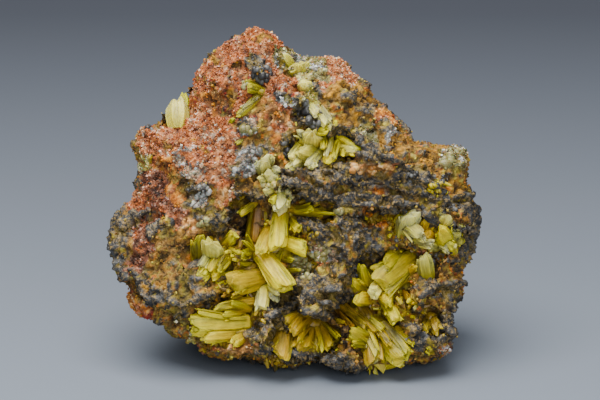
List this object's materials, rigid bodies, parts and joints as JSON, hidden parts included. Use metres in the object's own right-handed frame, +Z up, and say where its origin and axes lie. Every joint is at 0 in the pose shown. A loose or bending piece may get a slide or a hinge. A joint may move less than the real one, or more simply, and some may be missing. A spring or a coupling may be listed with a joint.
{
  "type": "pyromorphite specimen",
  "caption": "Mineral specimen: yellow-green six-sided pyromorphite crystals in the hollows of a rusty and black rock, standing on its flat underside.",
  "frame": {"origin": "a point on the rock's flat underside, near the middle of the face that it stands on", "axes": "+Z up, +X to the right as seen from the crystal side, -Y towards the viewer of the crystal side"},
  "size_m": [0.0784, 0.0546, 0.0696],
  "materials": {
    "rock": "earthy rusty brown, ochre and red rock with black glossy lumps",
    "central_vug_crystals": "resinous translucent yellow-green crystal, striated along its length",
    "frosted_crystals": "resinous translucent yellow-green crystal, striated along its length",
    "left_vug_crystals": "resinous translucent yellow-green crystal, striated along its length",
    "lower_left_crystals": "resinous translucent yellow-green crystal, striated along its length",
    "lower_vug_crystals": "resinous translucent yellow-green crystal, striated along its length",
    "right_vug_crystals": "resinous translucent yellow-green crystal, striated along its length",
    "right_ledge_crystals": "resinous translucent yellow-green crystal, striated along its length",
    "base_crystals": "resinous translucent yellow-green crystal, striated along its length",
    "corner_crystals": "resinous translucent yellow-green crystal, striated along its length",
    "upper_pocket_crystals": "resinous translucent yellow-green crystal, striated along its length",
    "crest_blades": "resinous translucent yellow-green crystal, striated along its length",
    "summit_crystals": "resinous translucent yellow-green crystal, striated along its length",
    "crust_blades": "resinous translucent yellow-green crystal, striated along its length",
    "shoulder_crystals": "resinous translucent yellow-green crystal, striated along its length"
  },
  "bodies": {
    "root": {"rock_matrix": "rock", "central_vug_crystals": "central_vug_crystals", "frosted_crystals": "frosted_crystals", "left_vug_crystals": "left_vug_crystals", "lower_left_crystals": "lower_left_crystals", "lower_vug_crystals": "lower_vug_crystals", "right_vug_crystals": "right_vug_crystals", "right_ledge_crystals": "right_ledge_crystals", "base_crystals": "base_crystals", "corner_crystals": "corner_crystals", "upper_pocket_crystals": "upper_pocket_crystals", "crest_blades": "crest_blades", "summit_crystals": "summit_crystals", "crust_blades": "crust_blades", "shoulder_crystals": "shoulder_crystals"}
  },
  "joints": []
}
